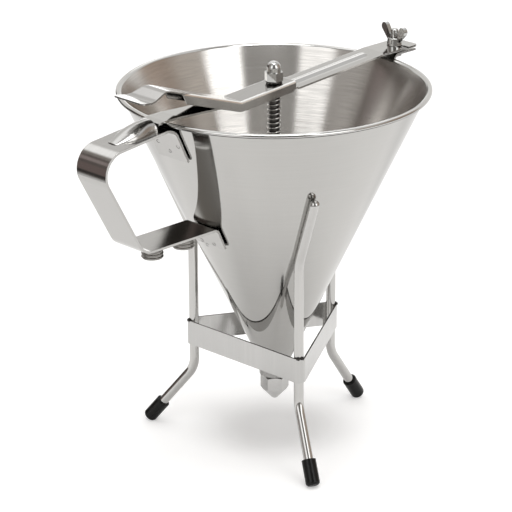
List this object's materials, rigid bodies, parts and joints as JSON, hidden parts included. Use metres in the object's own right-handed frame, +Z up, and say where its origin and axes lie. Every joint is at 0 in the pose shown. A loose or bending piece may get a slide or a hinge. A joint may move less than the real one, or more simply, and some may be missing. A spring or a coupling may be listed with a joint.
{
  "type": "confectionery funnel",
  "caption": "Hand-held metal dispensing funnel on a wire stand, with a thumb lever that lifts a sprung plunger off the screwed nozzle.",
  "frame": {"origin": "on the floor under the funnel axis, in the middle of the stand", "axes": "+Z up along the funnel axis; the handle points to -X and the wing nut stands at +X"},
  "size_m": [0.2627, 0.19, 0.2478],
  "materials": {
    "cone_sheet": "polished outside, brushed inside",
    "strap_sheet": "polished",
    "lever_sheet": "satin",
    "bar_sheet": "polished",
    "band_sheet": "polished",
    "leg_rod": "polished",
    "foot_cap": "gloss",
    "collar": "satin",
    "turned_steel": "satin",
    "bright_fastener": "polished",
    "spring_wire": "bright"
  },
  "bodies": {
    "stand": {"stand_band": "band_sheet", "leg_1": "leg_rod", "leg_2": "leg_rod", "leg_3": "leg_rod", "foot_cap_1": "foot_cap", "foot_cap_2": "foot_cap", "foot_cap_3": "foot_cap"},
    "funnel": {"funnel_cone": "cone_sheet", "outlet_spout": "collar", "handle": "strap_sheet", "nozzle_stud_1": "turned_steel", "nozzle_stud_2": "turned_steel", "crossbar": "bar_sheet", "bridge_pocket": "strap_sheet", "rear_bracket": "strap_sheet", "bridge_bolt": "bright_fastener", "bolt_nut": "bright_fastener", "return_spring": "spring_wire"},
    "lever": {"thumb_lever": "lever_sheet"},
    "plunger": {"plunger_rod": "turned_steel", "acorn_nut": "bright_fastener", "nut_washer": "turned_steel", "spring_seat": "turned_steel", "spring_pin": "turned_steel"},
    "wing_nut": {"wing_nut": "bright_fastener"},
    "nozzle": {"nozzle": "turned_steel"}
  },
  "joints": [
    {"name": "funnel_lift", "type": "slide", "parent": "stand", "child": "funnel", "axis": [0, 0, 1], "range_m": [0, 0.16]},
    {"name": "lever_press", "type": "hinge", "parent": "funnel", "child": "lever", "pos_m": [-0.0348, 0, 0.22969], "axis": [0, -1, 0], "range_deg": [0, 9]},
    {"name": "plunger_lift", "type": "slide", "parent": "funnel", "child": "plunger", "axis": [0, 0, 1], "range_m": [0, 0.00638], "stiffness_N_per_m": 1900, "springref_m": -0.005, "deforming": ["return_spring"]},
    {"name": "wing_nut_turn", "type": "hinge", "parent": "funnel", "child": "wing_nut", "pos_m": [0.1055, 0, 0.233], "axis": [0, 0, 1], "continuous": true},
    {"name": "nozzle_turn", "type": "hinge", "parent": "funnel", "child": "nozzle", "pos_m": [0, 0, 0.0335], "axis": [0, 0, 1], "continuous": true}
  ],
  "couplings": [
    {"joint": "lever_press", "follows": "plunger_lift", "rad_per_m": 24.619}
  ]
}
